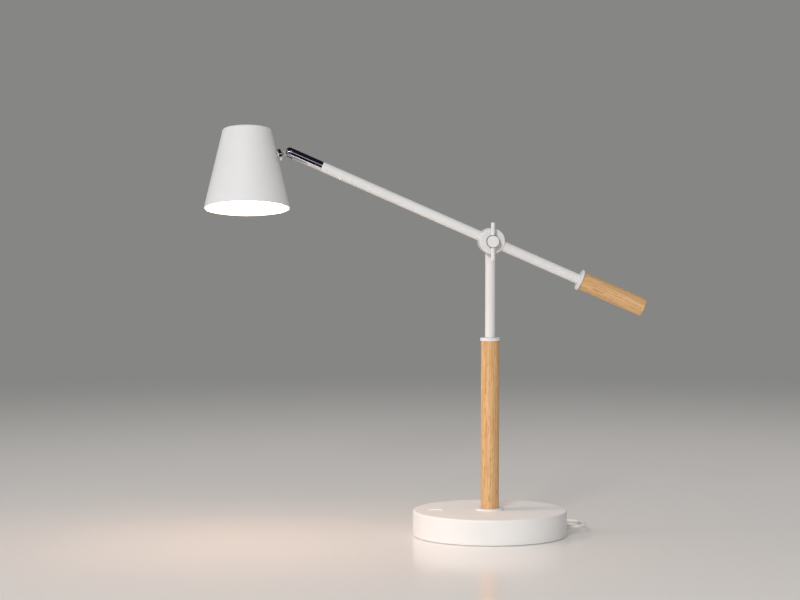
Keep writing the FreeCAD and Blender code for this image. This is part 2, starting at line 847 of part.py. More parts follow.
def lamp_bracket():
    """Angle strip that hangs the heat sink from the knuckle's nut."""
    low_z = sink_top_z + seat_gap
    upper = outward * inside_wall - down_wall * (knuckle_washer_diameter / 2 + bracket_tail / 2)
    lean = math.tan(shade_angle)
    thick_x = bracket_thickness / math.cos(shade_angle)
    foot_x = (outward * inside_wall).x + ((outward * inside_wall).z - low_z) * lean
    fold_x = foot_x - bracket_thickness * lean
    points = [upper, V(foot_x, 0, low_z), V(foot_x - bracket_reach, 0, low_z)]
    points.append(V(foot_x - bracket_reach, 0, low_z + bracket_thickness))
    points.append(V(fold_x - thick_x, 0, low_z + bracket_thickness))
    points.append(upper + outward * bracket_thickness)
    points.append(upper)
    strip = Part.Face(Part.makePolygon(points)).extrude(REAR * bracket_width)
    strip.translate(REAR * (-bracket_width / 2))
    hole_radius = stem_thread / 2 + sleeve_bore_gap
    strip = strip.cut(drill(hole_radius, bracket_thickness, outward * inside_wall, outward))
    for spot in bracket_screw_spots():
        strip = strip.cut(drill(bracket_screw_diameter / 2 + seat_gap, bracket_thickness, spot))
    return placed(strip, head_frame)


def bracket_screw_spots():
    low_z = sink_top_z + seat_gap
    foot_x = (outward * inside_wall).x + ((outward * inside_wall).z - low_z) * math.tan(shade_angle)
    x = foot_x - bracket_reach + bracket_screw_head
    return [V(x, side * bracket_screw_pitch / 2, low_z) for side in (-1, 1)]


def bracket_screws():
    screws = []
    for spot in bracket_screw_spots():
        shank_start = spot + UP * (bracket_thickness - bracket_screw_length)
        shank = rod(bracket_screw_diameter / 2, bracket_screw_length, shank_start)
        head_start = spot + UP * (bracket_thickness + seat_gap)
        head = rod(bracket_screw_head / 2, bracket_screw_head_height, head_start)
        neck_start = spot + UP * (bracket_thickness - seat_gap)
        neck = rod(bracket_screw_diameter / 2, bracket_screw_head_height, neck_start)
        screws.append(placed(shank.fuse([head, neck]), head_frame))
    return Part.makeCompound(screws)


spigot_top = sink_drop + sink_flange
spigot_bottom = spigot_top + sink_spigot
groove_start = spigot_top + groove_gap


def heat_sink():
    upper = inner_cone_radius(sink_drop) - sink_side_gap
    lower = inner_cone_radius(spigot_top) - sink_side_gap
    flange = Part.makeCone(lower, upper, sink_flange, at_drop(spigot_top), UP)
    spigot = rod(sink_spigot_diameter / 2, sink_spigot + sink_flange / 2, at_drop(spigot_bottom))
    sink = flange.fuse(spigot)
    groove_low = at_drop(groove_start + groove_height)
    groove = ring(sink_spigot_diameter, sink_spigot_diameter / 2 - groove_depth, groove_height, groove_low)
    cuts = [groove, drill(sink_hole / 2, sink_flange + sink_spigot, at_drop(spigot_bottom))]
    for spot in bracket_screw_spots():
        low = spot - UP * bracket_screw_length
        cuts.append(rod(bracket_screw_diameter / 2 + seat_gap, bracket_screw_length, low))
    for spot in led_screw_spots():
        cuts.append(rod(led_screw_diameter / 2 + seat_gap, led_screw_length, spot))
    return placed(sink.cut(cuts), head_frame)


board_drop_in_shade = spigot_bottom + seat_gap + led_board_thickness


def led_screw_spots():
    low = at_drop(board_drop_in_shade)
    return [low + polar(led_screw_circle_diameter, angle) for angle in around_z(led_screw_count)]


def led_board():
    low = at_drop(board_drop_in_shade)
    board = rod(led_board_diameter / 2, led_board_thickness, low)
    cuts = [drill(sink_hole / 2, led_board_thickness, low)]
    for spot in led_screw_spots():
        cuts.append(drill(led_screw_diameter / 2 + seat_gap, led_board_thickness, spot))
    return placed(board.cut(cuts), head_frame)


def led_chips():
    chips = []
    circles = [(led_outer_count, led_outer_circle_diameter), (led_inner_count, led_inner_circle_diameter)]
    for count, circle in circles:
        for angle in around_z(count, 180 / count):
            chip = block(led_length, led_width, led_height, V(-led_length / 2, -led_width / 2, -led_height))
            chip.rotate(ORIGIN, UP, math.degrees(angle))
            chip.translate(at_drop(board_drop_in_shade) + polar(circle, angle))
            chips.append(placed(chip, head_frame))
    return Part.makeCompound(chips)


def led_screws():
    screws = []
    for spot in led_screw_spots():
        shank_start = spot - UP * (led_screw_head_height / 2)
        shank = rod(led_screw_diameter / 2, led_screw_length, shank_start)
        head_start = spot - UP * (led_screw_head_height + seat_gap)
        head = rod(led_screw_head / 2, led_screw_head_height, head_start)
        screws.append(placed(shank.fuse(head), head_frame))
    return Part.makeCompound(screws)


diffuser_top = spigot_top + seat_gap


def diffuser():
    """Opal cup whose bead snaps into the heat sink's groove."""
    inner = sink_spigot_diameter / 2 + groove_gap
    outer = inner + diffuser_wall
    low = at_drop(diffuser_top + diffuser_height)
    cup = round_circles(rod(outer, diffuser_height, low), diffuser_round, outer, low)
    cup = cup.cut(rod(inner, diffuser_height, low + UP * diffuser_wall))
    bead_outer = inner + diffuser_wall / 2
    bead_inner = inner - groove_depth
    bead_height = groove_height - groove_gap * 2
    bead = ring(bead_outer, bead_inner, bead_height, at_drop(groove_start + groove_gap + bead_height))
    return placed(cup.fuse(bead), head_frame)


# Leads held inside the lamp

def path_wire(points, run_share=0.45):
    """Straight runs joined by the largest tangent arcs that the runs allow."""
    edges, radii, here = [], [], points[0]
    for k in range(1, len(points) - 1):
        before, after = points[k] - points[k - 1], points[k + 1] - points[k]
        half_turn = before.getAngle(after) / 2
        setback = run_share * min(before.Length, after.Length)
        radius = setback / math.tan(half_turn)
        radii.append(radius)
        back, ahead = V(before).normalize(), V(after).normalize()
        start, end = points[k] - back * setback, points[k] + ahead * setback
        inwards = (ahead - back).normalize()
        centre = points[k] + inwards * (radius / math.cos(half_turn))
        middle = centre - inwards * radius
        edges.append(Part.LineSegment(here, start).toShape())
        edges.append(Part.Arc(start, middle, end).toShape())
        here = end
    edges.append(Part.LineSegment(here, points[-1]).toShape())
    return Part.Wire(edges), radii


def sweep(wire, radius):
    first = wire.OrderedEdges[0]
    start = first.valueAt(first.FirstParameter)
    heading = first.tangentAt(first.FirstParameter)
    section = Part.Wire([Part.Circle(start, heading, radius).toShape()])
    shell = Part.BRepOffsetAPI.MakePipeShell(wire)
    shell.add(section)
    shell.build()
    shell.makeSolid()
    return shell.shape()


def route(name, points, diameter):
    wire, radii = path_wire(points)
    tube = sweep(wire, diameter / 2)
    section = math.pi * (diameter / 2) ** 2
    volume_share = tube.Volume / (section * wire.Length)
    print(name, "length", round(wire.Length, 1), "smallest radius", round(min(radii), 1),
          "radii", [round(r, 1) for r in radii], "volume share", round(volume_share, 4))
    return tube


lead_radius = lead_diameter / 2
lead_level = plate_top + lead_radius + lead_end_gap


def lead_base():
    """From the gland along the floor of the base to the board's header."""
    start_x = gland_inside - seat_gap
    side = washer_diameter / 2 + lead_diameter * 3
    header_x = board_left + board_length
    points = [V(start_x, 0, gland_height), V(start_x - lead_diameter * 4, 0, gland_height)]
    points.append(V(start_x * 3 / 4, side / 3, lead_level))
    points.append(V(start_x / 2, side, lead_level))
    points.append(V(start_x / 4, side * 5 / 4, lead_level))
    points.append(V(0, side, lead_level))
    points.append(V(header_x / 2, side * 3 / 4, lead_level))
    points.append(V(header_x + lead_diameter, side / 2, board_bottom - lead_end_gap / 2))
    return route("lead_base", points, lead_diameter)


def lead_post():
    """Straight up the wooden post and the steel tube to the pivot."""
    top = pivot_height - bolt_diameter
    return rod(lead_radius, top - core_bottom, V(0, 0, core_bottom))


def lead_arm():
    start = bolt_diameter / 2 + rest_gap
    end = -barrel_clip_start - clip_thickness - clip_stand - lead_end_gap
    return placed(rod(lead_radius, end - start, V(-end, 0, 0), SIDE), arm_frame)


def lead_head():
    """From the knuckle's hollow stem to the hole in the heat sink."""
    exit_point = outward * (knuckle_reach + stem_tail)
    axis_x = shade_axis_x
    span = exit_point.x - axis_x
    points = [exit_point + outward * seat_gap, exit_point + outward * (span / 3)]
    points.append(V(axis_x + span / 4, 0, exit_point.z - span / 5))
    points.append(V(axis_x, 0, sink_top_z + sink_flange))
    points.append(V(axis_x, 0, sink_top_z - sink_flange / 2))
    return placed(route("lead_head", points, lead_diameter), head_frame)


# Lead outside the lamp, as it lies on the desk

gland_end = base_radius + gland_reach
wall_inside = base_radius - cover_wall
# The flat inner flange touches the round wall along its edge only
gland_seat = math.sqrt(wall_inside ** 2 - (gland_inner_flange / 2) ** 2)
gland_inside = gland_seat - seat_gap - gland_flange_thickness


def cord_gland():
    """Grommet in the cover's wall with a tapered strain relief."""
    inner_start = V(gland_inside, 0, gland_height)
    inner = rod(gland_inner_flange / 2, gland_flange_thickness, inner_start, SIDE)
    collar_start = V(base_radius, 0, gland_height)
    neck = rod(gland_neck / 2, collar_start.x - gland_inside, inner_start, SIDE)
    collar = rod(gland_outer_diameter / 2, gland_collar, collar_start, SIDE)
    taper_start = collar_start + SIDE * (gland_collar / 2)
    taper_length = gland_reach - gland_collar / 2
    taper = Part.makeCone(gland_neck / 2, cord_radius + gland_tip_wall, taper_length, taper_start, SIDE)
    return inner.fuse([neck, collar, taper])


coil_outer = (coil_mean_diameter + coil_turns_per_layer * coil_pitch) / 2
coil_inner = (coil_mean_diameter - coil_turns_per_layer * coil_pitch) / 2
coil_level = coil_lift + cord_radius
coil_entry = coil_centre + V(cord_diameter, -coil_outer, coil_level)
coil_exit_level = coil_level + (coil_layers - 1) * coil_layer_pitch
coil_exit = coil_centre + V(-cord_diameter, -coil_outer, coil_exit_level)

cord_route = [
    V(gland_end, 0, gland_height), V(98.2, 0, gland_height), V(103.7, 2.9, 8.6), V(107.0, 8.2, 9.3),
    V(107.5, 15.7, 9.8), V(106.5, 26.0, 9.8), V(105.5, 38.5, 8.2), V(106.6, 52.0, 5.4),
    V(109.3, 64.5, 2.9), V(110.8, 76.5, 1.7), V(108.2, 87.0, 1.7), V(99.8, 93.4, 1.7),
    V(88.9, 94.2, 1.7), V(77.6, 90.6, 1.7), V(66.0, 88.0, 2.0), V(54.6, coil_entry.y, coil_entry.z),
    coil_entry,
]

plug_level = plug_height / 2 + plug_floor_gap
plug_entry = plug_place + UP * plug_level
plug_front = plug_entry.x - plug_boot_length - plug_grip_length
tail_route = [
    coil_exit, V(28.6, coil_exit.y, coil_exit.z), V(21.0, 88.4, 13.4), V(13.6, 91.4, 10.2),
    V(6.2, 94.6, 6.6), V(-1.4, plug_entry.y, plug_entry.z), plug_entry,
]


def cord_lead():
    return route("cord_lead", cord_route, cord_diameter)


def cord_tail():
    return route("cord_tail", tail_route, cord_diameter)


def coil_place(turns):
    """The coil's centre line after this many turns, wound clockwise from its front."""
    layer = min(int(turns / (coil_turns_per_layer + coil_climb_turns)), coil_layers - 1)
    turned = turns - layer * (coil_turns_per_layer + coil_climb_turns)
    height = coil_level + layer * coil_layer_pitch
    inwards = 1 if layer % 2 == 0 else -1
    first_radius = coil_outer if inwards > 0 else coil_inner
    if turned <= coil_turns_per_layer:
        radius = first_radius - inwards * coil_pitch * turned
    else:
        part = (turned - coil_turns_per_layer) / coil_climb_turns
        bulge = coil_pitch * coil_climb_turns * (part - part ** 2)
        radius = first_radius - inwards * (coil_pitch * coil_turns_per_layer + bulge)
        height += coil_layer_pitch * (1 - math.cos(math.pi * part)) / 2
    angle = -math.pi / 2 - 2 * math.pi * turns
    return coil_centre + V(radius * math.cos(angle), radius * math.sin(angle), height)


def coil_stops():
    """Numbers of turns at which two biarcs meet."""
    stops = [0]
    for layer in range(coil_layers):
        stretches = [coil_turns_per_layer]
        if layer < coil_layers - 1:
            stretches.append(coil_climb_turns)
        for turns in stretches:
            steps = math.ceil(turns * steps_per_turn)
            before = stops[-1]
            stops.extend(before + turns * (k + 1) / steps for k in range(steps))
    return stops


def arc_edge(start, control, end):
    """The arc from start to end whose tangents meet at control."""
    middle = (start + end) * 0.5
    half_chord = (end - start).Length / 2
    rise = control - middle
    turn = math.atan2(rise.Length, half_chord)
    peak = middle + V(rise).normalize() * (half_chord * math.tan(turn / 2))
    return Part.Arc(start, peak, end).toShape()


def biarc(start, heading, end, leaving):
    """Two tangent arcs from start to end."""
    across = end - start
    both = heading + leaving
    bend = 2 * (1 - heading.dot(leaving))
    along = across.dot(both)
    reach = (-along + math.sqrt(along ** 2 + bend * across.dot(across))) / bend
    first, second = start + heading * reach, end - leaving * reach
    joint = (first + second) * 0.5
    return [arc_edge(start, first, joint), arc_edge(joint, second, end)]


def coil_wire():
    stops = coil_stops()
    points = [coil_place(stop) for stop in stops]
    headings = [V(-1, 0, 0)]
    for stop in stops[1:-1]:
        headings.append((coil_place(stop + tangent_step) - coil_place(stop - tangent_step)).normalize())
    headings.append(V(-1, 0, 0))
    edges = [Part.LineSegment(coil_entry, points[0]).toShape()]
    for k in range(len(points) - 1):
        edges.extend(biarc(points[k], headings[k], points[k + 1], headings[k + 1]))
    edges.append(Part.LineSegment(points[-1], coil_exit).toShape())
    return Part.Wire(edges)


def least_gap(wire, diameter):
    """Smallest clear distance between turns of the coil."""
    points = []
    travelled = 0.0
    for edge in wire.OrderedEdges:
        low, high = edge.FirstParameter, edge.LastParameter
        for k in range(gap_samples):
            share = k / gap_samples
            points.append((travelled + edge.Length * share, edge.valueAt(low + (high - low) * share)))
        travelled += edge.Length
    apart = math.pi * coil_inner
    best = coil_outer
    for i in range(len(points)):
        for j in range(i + 1, len(points)):
            if points[j][0] - points[i][0] > apart:
                best = min(best, (points[i][1] - points[j][1]).Length)
    return best - diameter


def cord_coil():
    wire = coil_wire()
    tube = sweep(wire, cord_radius)
    section = math.pi * cord_radius ** 2
    gap = least_gap(wire, cord_diameter)
    volume_share = tube.Volume / (section * wire.Length)
    print("cord_coil length", round(wire.Length, 1), "least gap", round(gap, 2),
          "volume share", round(volume_share, 4))
    return tube


def coil_tie():
    """Flat strap round the turns, on the coil's +X side."""
    inner_x = coil_inner - cord_radius - tie_inner_allowance
    outer_x = coil_outer + cord_radius + tie_gap + coil_pitch / 4
    low = coil_lift - tie_gap
    high = coil_exit_level + cord_radius + tie_gap
    length, height, grown = outer_x - inner_x, high - low, tie_thickness * 2
    hole_corner = V(inner_x, -overrun, low)
    hole = rounded_block(length, tie_width + overrun + overrun, height, hole_corner, tie_corner)
    band_corner = V(inner_x - tie_thickness, 0, low - tie_thickness)
    band_round = tie_corner + tie_thickness
    band = rounded_block(length + grown, tie_width, height + grown, band_corner, band_round)
    tie = band.cut(hole)
    tie.translate(coil_centre - REAR * (tie_width / 2))
    return tie


def rounded_block(length, width, height, corner, radius):
    """A block whose four edges along Y are rounded."""
    shape = block(length, width, height, corner)
    edges = [e for e in shape.Edges if abs(e.tangentAt(e.FirstParameter).dot(REAR)) > 1 - same_place]
    return shape.makeFillet(radius, edges)


def plug_body():
    """Overmoulded grip with a tapered boot, pointing along -X."""
    grip_corner = V(plug_front, plug_entry.y - plug_width / 2, plug_floor_gap)
    grip = block(plug_grip_length, plug_width, plug_height, grip_corner)
    edges = [e for e in grip.Edges if abs(e.tangentAt(e.FirstParameter).dot(SIDE)) > 1 - same_place]
    grip = grip.makeFillet(plug_round, edges)
    thick_end = (plug_height - plug_boot_wall) / 2
    thin_end = cord_radius + plug_boot_wall / 2
    boot_start = plug_entry - SIDE * plug_boot_length
    boot = Part.makeCone(thick_end, thin_end, plug_boot_length, boot_start, SIDE)
    wide, high = shell_width / 2 + seat_gap, shell_height / 2 + seat_gap
    mouth_corner = V(plug_front - overrun, plug_entry.y - wide, plug_level - high)
    mouth = block(shell_inset + overrun, wide + wide, high + high, mouth_corner)
    return grip.fuse(boot).cut(mouth)


def plug_shell():
    length = shell_length + shell_inset
    corner = V(plug_front - shell_length, plug_entry.y - shell_width / 2, plug_level - shell_height / 2)
    outer = block(length, shell_width, shell_height, corner)
    grown = shell_wall * 2
    inner_corner = corner + V(-overrun, shell_wall, shell_wall)
    inner = block(length + overrun + overrun, shell_width - grown, shell_height - grown, inner_corner)
    return outer.cut(inner)


def plug_insert():
    margin = shell_wall + seat_gap
    tip = plug_front - shell_length + insert_back
    corner = V(tip, plug_entry.y - shell_width / 2 + margin, plug_level - shell_height / 2 + margin)
    length = shell_length + shell_inset - insert_back - seat_gap
    return block(length, shell_width - margin * 2, insert_thickness, corner)


nodes = [
    base_cover, weight_plate, bottom_plate, foot_pad, base_screws, touch_electrode, touch_contact,
    control_board, board_components, board_standoffs, clamp_washer, clamp_nut, cord_gland, lead_base,
    post_flange, core_tube, wood_sleeve, top_collar, swivel_bush,
    swivel_spindle, swivel_clip, post_tube, rear_drum, pivot_bolt, hub_cap, friction_disc, lead_post,
    front_drum, arm_tube, handle_tube, handle_collar, wood_handle, arm_bush, lead_arm,
    clamp_knob, cross_bar, thrust_washer,
    barrel, fork_pin, barrel_clip,
    knuckle, rosette, knuckle_washer, knuckle_nut, shade_shell, lamp_bracket, bracket_screws,
    heat_sink, led_board, led_chips, led_screws, diffuser, lead_head,
    cord_lead, cord_coil, coil_tie, cord_tail, plug_body, plug_shell, plug_insert,
]

os.makedirs("parts", exist_ok=True)
for make in nodes:
    shape = make()
    shape.exportStep("parts/" + make.__name__ + ".step")
print(len(nodes), "nodes; pivot at", round(pivot_height, 2), "shade bottom axis at",
      head_frame.multVec(at_drop(shade_height)))
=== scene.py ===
# Desk lamp, dressed for the photograph. Metres, Z up, the origin under the middle of the base.
import bmesh
import bpy
import json
import math
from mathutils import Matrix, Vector

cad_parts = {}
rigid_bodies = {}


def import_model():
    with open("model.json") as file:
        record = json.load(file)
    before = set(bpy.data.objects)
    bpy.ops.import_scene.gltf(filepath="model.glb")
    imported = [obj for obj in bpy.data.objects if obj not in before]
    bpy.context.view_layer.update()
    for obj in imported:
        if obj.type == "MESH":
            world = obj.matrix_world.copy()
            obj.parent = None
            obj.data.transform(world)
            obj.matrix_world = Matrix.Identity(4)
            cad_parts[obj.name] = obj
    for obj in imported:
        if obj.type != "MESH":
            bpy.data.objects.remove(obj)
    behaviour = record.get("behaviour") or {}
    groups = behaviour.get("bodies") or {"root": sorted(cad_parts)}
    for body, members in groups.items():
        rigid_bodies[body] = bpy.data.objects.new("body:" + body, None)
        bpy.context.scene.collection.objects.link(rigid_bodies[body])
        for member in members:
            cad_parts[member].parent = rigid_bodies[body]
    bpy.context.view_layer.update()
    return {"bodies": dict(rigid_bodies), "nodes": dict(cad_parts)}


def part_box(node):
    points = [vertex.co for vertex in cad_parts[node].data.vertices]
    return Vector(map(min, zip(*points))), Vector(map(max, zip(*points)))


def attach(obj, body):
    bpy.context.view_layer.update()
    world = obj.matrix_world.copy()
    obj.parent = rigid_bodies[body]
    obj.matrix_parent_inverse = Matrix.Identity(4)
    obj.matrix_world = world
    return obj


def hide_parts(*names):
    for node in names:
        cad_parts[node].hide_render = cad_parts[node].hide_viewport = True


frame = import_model()
nodes = frame["nodes"]
mm = 0.001
print("frame loaded:", len(nodes), "nodes")


def addObject(name, data):
    piece = bpy.data.objects.new(name, data)
    bpy.context.scene.collection.objects.link(piece)
    return piece


# Camera, as solved from the photograph

camera = {
    "place": (-0.3014, -2.7298, 0.407),
    "turn": -4.232,          # degrees about the vertical
    "dip": 3.07,             # degrees below level
    "sensor": 36.0,          # mm
    "focalShare": 3.125,     # focal length as a share of the sensor's width
    "nearest": 0.01,
    "farthest": 60.0,
}


def makeCamera():
    data = bpy.data.cameras.new("lampCamera")
    data.sensor_width = camera["sensor"]
    data.lens = camera["sensor"] * camera["focalShare"]
    data.clip_start, data.clip_end = camera["nearest"], camera["farthest"]
    eye = addObject("lampCamera", data)
    eye.location = camera["place"]
    eye.rotation_euler = (math.radians(90 - camera["dip"]), 0, math.radians(camera["turn"]))
    bpy.context.scene.camera = eye


makeCamera()
print("camera placed")

# Cord: from the grommet round the back of the base, through its coil, to the plug

cord = {
    "diameter": 0.0034,
    "length": 1.754,
    "coilCentre": Vector((0.038, 0.112, 0.0029)),
    "coilMeanRadius": 0.019,
    "turnsPerLayer": 2.875,
    "climbTurns": 0.5,       # the part of a turn that climbs to the next layer
    "layers": 4,
    "pitch": 0.004,          # from one turn to the next, and from layer to layer
    "pointsPerTurn": 16,
    "stepsPerPoint": 5,
    "roundSteps": 5,
    "lead": [
        (0.0925, 0, 0.008), (0.0982, 0, 0.008), (0.1037, 0.0029, 0.0086),
        (0.107, 0.0082, 0.0093), (0.1075, 0.0157, 0.0098), (0.1065, 0.026, 0.0098),
        (0.1055, 0.0385, 0.0082), (0.1066, 0.052, 0.0054), (0.1093, 0.0645, 0.0029),
        (0.1108, 0.0765, 0.0017), (0.1082, 0.087, 0.0017), (0.0998, 0.0934, 0.0017),
        (0.0889, 0.0942, 0.0017), (0.0776, 0.0906, 0.0017), (0.066, 0.088, 0.002),
        (0.0546, 0.08725, 0.0029), (0.0414, 0.08725, 0.0029),
    ],
    "tail": [
        (0.0346, 0.08725, 0.0149), (0.0286, 0.08725, 0.0149), (0.021, 0.0884, 0.0134),
        (0.0136, 0.0914, 0.0102), (0.0062, 0.0946, 0.0066), (-0.0014, 0.0965, 0.0042),
        (-0.0084, 0.0965, 0.0042),
    ],
}


def coilPoint(turns):
    pitch, wound, climb = cord["pitch"], cord["turnsPerLayer"], cord["climbTurns"]
    layer = min(int(turns / (wound + climb)), cord["layers"] - 1)
    turned = turns - layer * (wound + climb)
    inwards = 1 if layer % 2 == 0 else -1
    radius = cord["coilMeanRadius"] + inwards * pitch * (wound / 2 - min(turned, wound))
    height = layer * pitch
    if turned > wound:
        part = (turned - wound) / climb
        radius -= inwards * pitch * climb * (part - part ** 2)
        height += pitch * (1 - math.cos(math.pi * part)) / 2
    radius /= math.cos(math.pi / cord["pointsPerTurn"])      # the spline runs inside its points
    angle = -math.pi / 2 - math.tau * turns      # clockwise from the point nearest the camera
    return cord["coilCentre"] + Vector((radius * math.cos(angle), radius * math.sin(angle), height))


def makeCord():
    turns = cord["layers"] * (cord["turnsPerLayer"] + cord["climbTurns"]) - cord["climbTurns"]
    steps = round(turns * cord["pointsPerTurn"])
    coil = [coilPoint(turns * k / steps) for k in range(steps + 1)]
    points = cord["lead"] + coil + cord["tail"]
    curve = bpy.data.curves.new("powerCord", "CURVE")
    curve.dimensions = "3D"
    curve.bevel_depth = 1.0      # scaled at each point by its radius
    curve.bevel_resolution = cord["roundSteps"]
    curve.use_fill_caps = True
    curve.resolution_u = cord["stepsPerPoint"]
    spline = curve.splines.new("NURBS")
    spline.points.add(len(points) - 1)
    for place, point in zip(spline.points, points):
        place.co = (*point, 1)
        place.radius = cord["diameter"] / 2
    spline.order_u = 3
    spline.use_endpoint_u = True
    piece = addObject("powerCord", curve)
    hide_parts("cord_lead", "cord_coil", "cord_tail")
    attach(piece, "base")
    return piece


tie = {
    "thickness": 0.8 * mm,
    "corner": 3.0 * mm,        # outer radius of the strap's corners
    "taper": 0.3 * mm,         # width of its rounded edges
    "overlap": 13.0 * mm,      # how far its end lies over itself
    "overlapInset": 2.0 * mm,  # from the corner to where that starts
    "soften": 0.1 * mm,        # bevel of its outlines
    "softenSteps": 2,
    "cornerSteps": 8,
    "overlapSteps": 10,
}


def strapLoop(low, high):
    # Points of the strap's outer face in the XZ plane, clockwise from the top's right end.
    radius = tie["corner"]
    left, right, bottom, top = low[0], high[0], low[2], high[2]
    points = []
    corners = ((right, top, 90), (right, bottom, 0), (left, bottom, -90), (left, top, -180))
    for x, z, first in corners:
        across = x - math.copysign(radius, x - (left + right) / 2)
        up = z - math.copysign(radius, z - (bottom + top) / 2)
        for k in range(tie["cornerSteps"] + 1):
            angle = math.radians(first - 90 * k / tie["cornerSteps"])
            points.append((across + radius * math.cos(angle), up + radius * math.sin(angle)))
    return points


def makeStrap(name, path, width, middle, closed):
    # Each station is a flat section with rounded edges, square to the path.
    mesh = bpy.data.meshes.new(name)
    half, thick = width / 2, tie["thickness"]
    flat = half - tie["taper"]
    section = [(-half, -thick / 2), (-flat, -thick), (flat, -thick), (half, -thick / 2),
               (flat, 0), (-flat, 0)]
    verts, faces = [], []
    count, ring = len(path), len(section)
    for k, (x, z) in enumerate(path):
        before = path[k - 1] if closed or k else path[k]
        after = path[(k + 1) % count] if closed or k < count - 1 else path[k]
        along = Vector((after[0] - before[0], after[1] - before[1])).normalized()
        outwards = Vector((-along[1], along[0]))
        for across, depth in section:
            verts.append((x + outwards[0] * depth, middle + across, z + outwards[1] * depth))
        if closed or k < count - 1:
            here, there = k * ring, (k + 1) % count * ring
            for n in range(ring):
                faces.append((here + n, there + n, there + (n + 1) % ring, here + (n + 1) % ring))
    if not closed:
        faces += [tuple(range(ring - 1, -1, -1)), tuple(range((count - 1) * ring, count * ring))]
    mesh.from_pydata(verts, [], faces)
    mesh.update()
    return mesh


def makeTie():
    low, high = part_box("coil_tie")
    middle = (low[1] + high[1]) / 2
    width = high[1] - low[1]
    band = makeStrap("coilTie", strapLoop(low, high), width, middle, True)
    top = high[2] + tie["thickness"]
    start = low[0] + tie["corner"] + tie["overlapInset"]
    steps = tie["overlapSteps"]
    tongue = [(start + tie["overlap"] * k / steps, top) for k in range(steps + 1)]
    flap = makeStrap("coilTieEnd", tongue, width, middle, False)
    joined = bmesh.new()
    joined.from_mesh(band)
    joined.from_mesh(flap)
    bmesh.ops.recalc_face_normals(joined, faces=joined.faces)
    joined.to_mesh(band)
    joined.free()
    for polygon in band.polygons:
        polygon.use_smooth = True
    piece = addObject("coilTie", band)
    bevel = piece.modifiers.new("soften", "BEVEL")
    bevel.width, bevel.segments, bevel.limit_method = tie["soften"], tie["softenSteps"], "ANGLE"
    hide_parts("coil_tie")
    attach(piece, "base")
    return piece


coilTie = makeTie()
powerCord = makeCord()
print("cord laid")

# Materials


def linear(code):
    parts = [int(code[k:k + 2], 16) / 255 for k in (0, 2, 4)]
    light = [p / 12.92 if p <= 0.04045 else ((p + 0.055) / 1.055) ** 2.4 for p in parts]
    return (*light, 1.0)


def addNode(tree, kind, inputs=None, stops=None, **settings):
    node = tree.nodes.new("ShaderNode" + kind)
    for name, value in settings.items():
        setattr(node, name, value)
    for name, value in (inputs or {}).items():
        if isinstance(value, bpy.types.NodeSocket):
            tree.links.new(value, node.inputs[name])
        else:
            node.inputs[name].default_value = value
    for k, (place, code) in enumerate(stops or []):
        if k < 2:
            element = node.color_ramp.elements[k]
            element.position = place
        else:
            element = node.color_ramp.elements.new(place)
        element.color = linear(code)
    return node


def newMaterial(name):
    material = bpy.data.materials.new(name)
    material.use_nodes = True
    material.node_tree.nodes.clear()
    return material, material.node_tree


def giveSurface(tree, **inputs):
    named = {name.replace("_", " "): value for name, value in inputs.items()}
    shader = addNode(tree, "BsdfPrincipled", named)
    addNode(tree, "OutputMaterial", {"Surface": shader.outputs[0]})


def clouded(tree, place, look):
    # Faint uneven patches, in tone and in gloss.
    cloud = addNode(tree, "TexNoise", {"Vector": place, "Scale": 1 / (look["cloud"] * mm),
                                       "Detail": look["cloudDetail"]}).outputs["Fac"]
    darkest, lightest = look["blend"]
    tone = addNode(tree, "ValToRGB", {"Fac": cloud},
                   stops=[(darkest, look["shade"]), (lightest, look["light"])])
    smoothest, roughest = look["roughness"]
    rough = addNode(tree, "MapRange", {"Value": cloud, "To Min": smoothest, "To Max": roughest})
    return tone.outputs["Color"], rough.outputs["Result"]


paint = {
    "light": "e9e8e7",
    "shade": "e4e3e2",
    "cloud": 60.0,           # mm across the patches
    "cloudDetail": 3.0,
    "blend": (0.35, 0.65),   # the stretch of the noise over which shade turns to light
    "roughness": (0.34, 0.42),
    "ior": 1.5,
    "peel": 2.2,             # mm between the crests of the orange peel, twice the real size to show
    "peelDetail": 1.5,
    "depth": 0.006,          # mm
    "bump": 0.15,
    "shadePeel": 0.7,        # the bump's share on the shade, spun and smoother than the tubes
    "rim": "a5a19e",         # the knob's bare edge
    "rimTurn": (0.97, 0.9),  # Y of the normal where the paint ends, and where the metal is bare
}


def powderCoat(name, peelShare=1.0, bareRim=False):
    # Polyester powder, sprayed and baked: an even satin white with a faint orange peel.
    material, tree = newMaterial(name)
    place = addNode(tree, "TexCoord").outputs["Object"]
    tone, rough = clouded(tree, place, paint)
    metallic = 0.0
    peel = addNode(tree, "TexNoise", {"Vector": place, "Scale": 1 / (paint["peel"] * mm),
                                      "Detail": paint["peelDetail"]})
    bump = addNode(tree, "Bump", {"Height": peel.outputs["Fac"],
                                  "Strength": paint["bump"] * peelShare,
                                  "Distance": paint["depth"] * mm})
    if bareRim:      # only the flat face is painted, and the turned edge around it is bare metal
        normal = addNode(tree, "TexCoord").outputs["Normal"]
        facing = addNode(tree, "SeparateXYZ", {"Vector": normal})
        turnedAway = addNode(tree, "Math", {0: facing.outputs["Y"]}, operation="ABSOLUTE")
        painted, bare = paint["rimTurn"]
        metallic = addNode(tree, "MapRange", {"Value": turnedAway.outputs[0], "From Min": painted,
                                              "From Max": bare}).outputs["Result"]
        tone = addNode(tree, "Mix", {"Factor": metallic, "A": tone, "B": linear(paint["rim"])},
                       data_type="RGBA").outputs[2]
    giveSurface(tree, Base_Color=tone, Metallic=metallic, Roughness=rough, IOR=paint["ior"],
                Normal=bump.outputs["Normal"])
    return material


